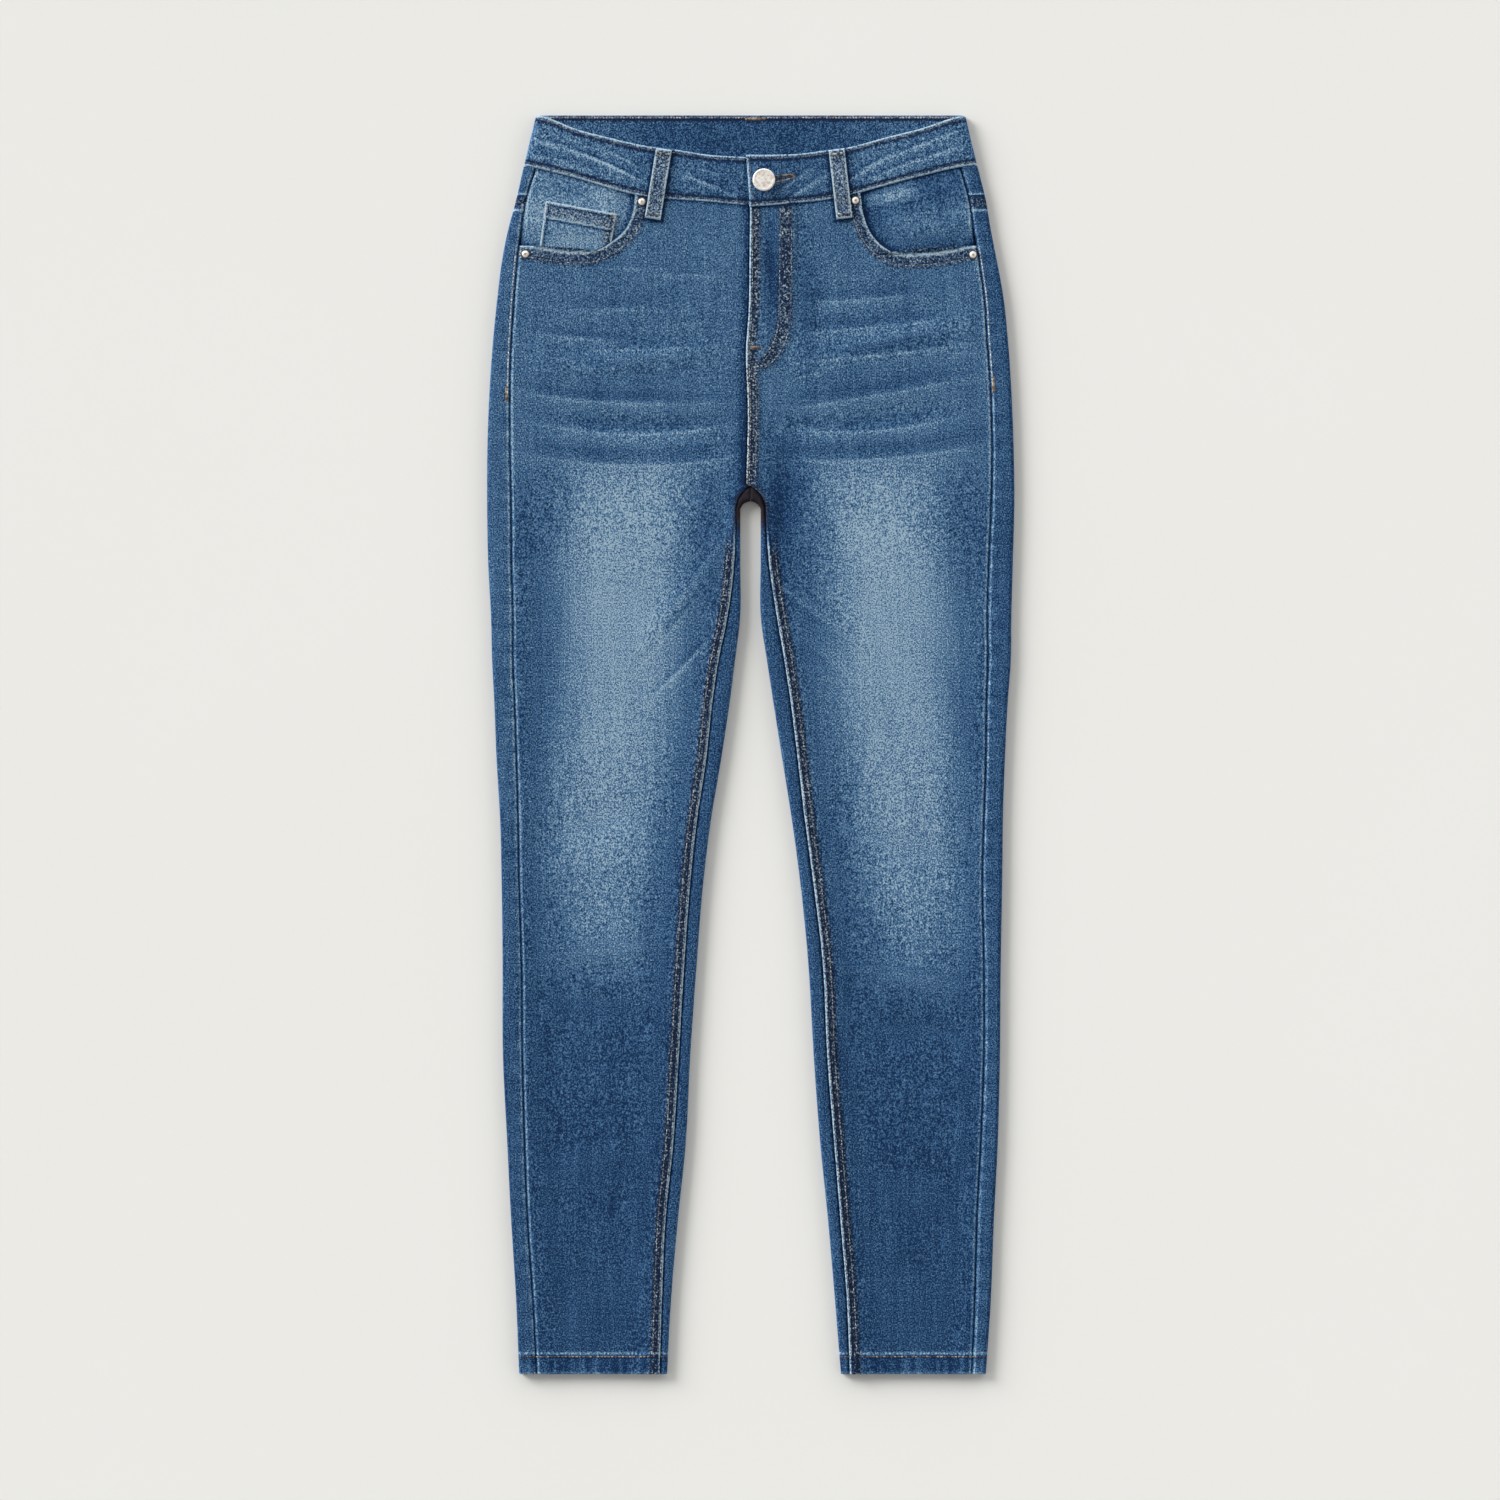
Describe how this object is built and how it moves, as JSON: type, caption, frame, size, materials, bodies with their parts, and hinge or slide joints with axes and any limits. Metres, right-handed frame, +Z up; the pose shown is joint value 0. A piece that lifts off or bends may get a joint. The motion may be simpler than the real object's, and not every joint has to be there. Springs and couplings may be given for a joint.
{
  "type": "skinny jeans",
  "caption": "High-waisted skinny jeans laid flat with the front up, with tapered legs, scooped pockets, a coin pocket, belt loops and a fly button.",
  "frame": {"origin": "centre of the footprint, on the surface that the garment lies on", "axes": "+Y from the hems to the waist, +Z up out of the garment's front, +X to the right as seen from above"},
  "size_m": [0.4326, 1.0324, 0.0129],
  "materials": {
    "denim_front": "mid-blue stretch denim, faded and whiskered at the thighs",
    "denim_back": "mid-blue stretch denim, darker towards the folded edges",
    "denim_band": "doubled mid-blue denim with pale tan topstitching",
    "denim_facing": "lighter blue denim in the pocket openings",
    "pale_metal": "pale satin metal, slightly warm"
  },
  "bodies": {
    "root": {"front_left": "denim_front", "front_right": "denim_front", "back_left": "denim_back", "back_right": "denim_back", "yoke_left": "denim_back", "yoke_right": "denim_back", "back_pocket_left": "denim_back", "back_pocket_right": "denim_back", "facing_left": "denim_facing", "facing_right": "denim_facing", "coin_pocket": "denim_facing", "waistband": "denim_band", "belt_loop_front_left": "denim_band", "belt_loop_front_right": "denim_band", "belt_loop_back_left": "denim_band", "belt_loop_back_centre": "denim_band", "belt_loop_back_right": "denim_band", "button": "pale_metal", "rivet_left_top": "pale_metal", "rivet_left_side": "pale_metal", "rivet_right_top": "pale_metal", "rivet_right_side": "pale_metal"}
  },
  "joints": []
}
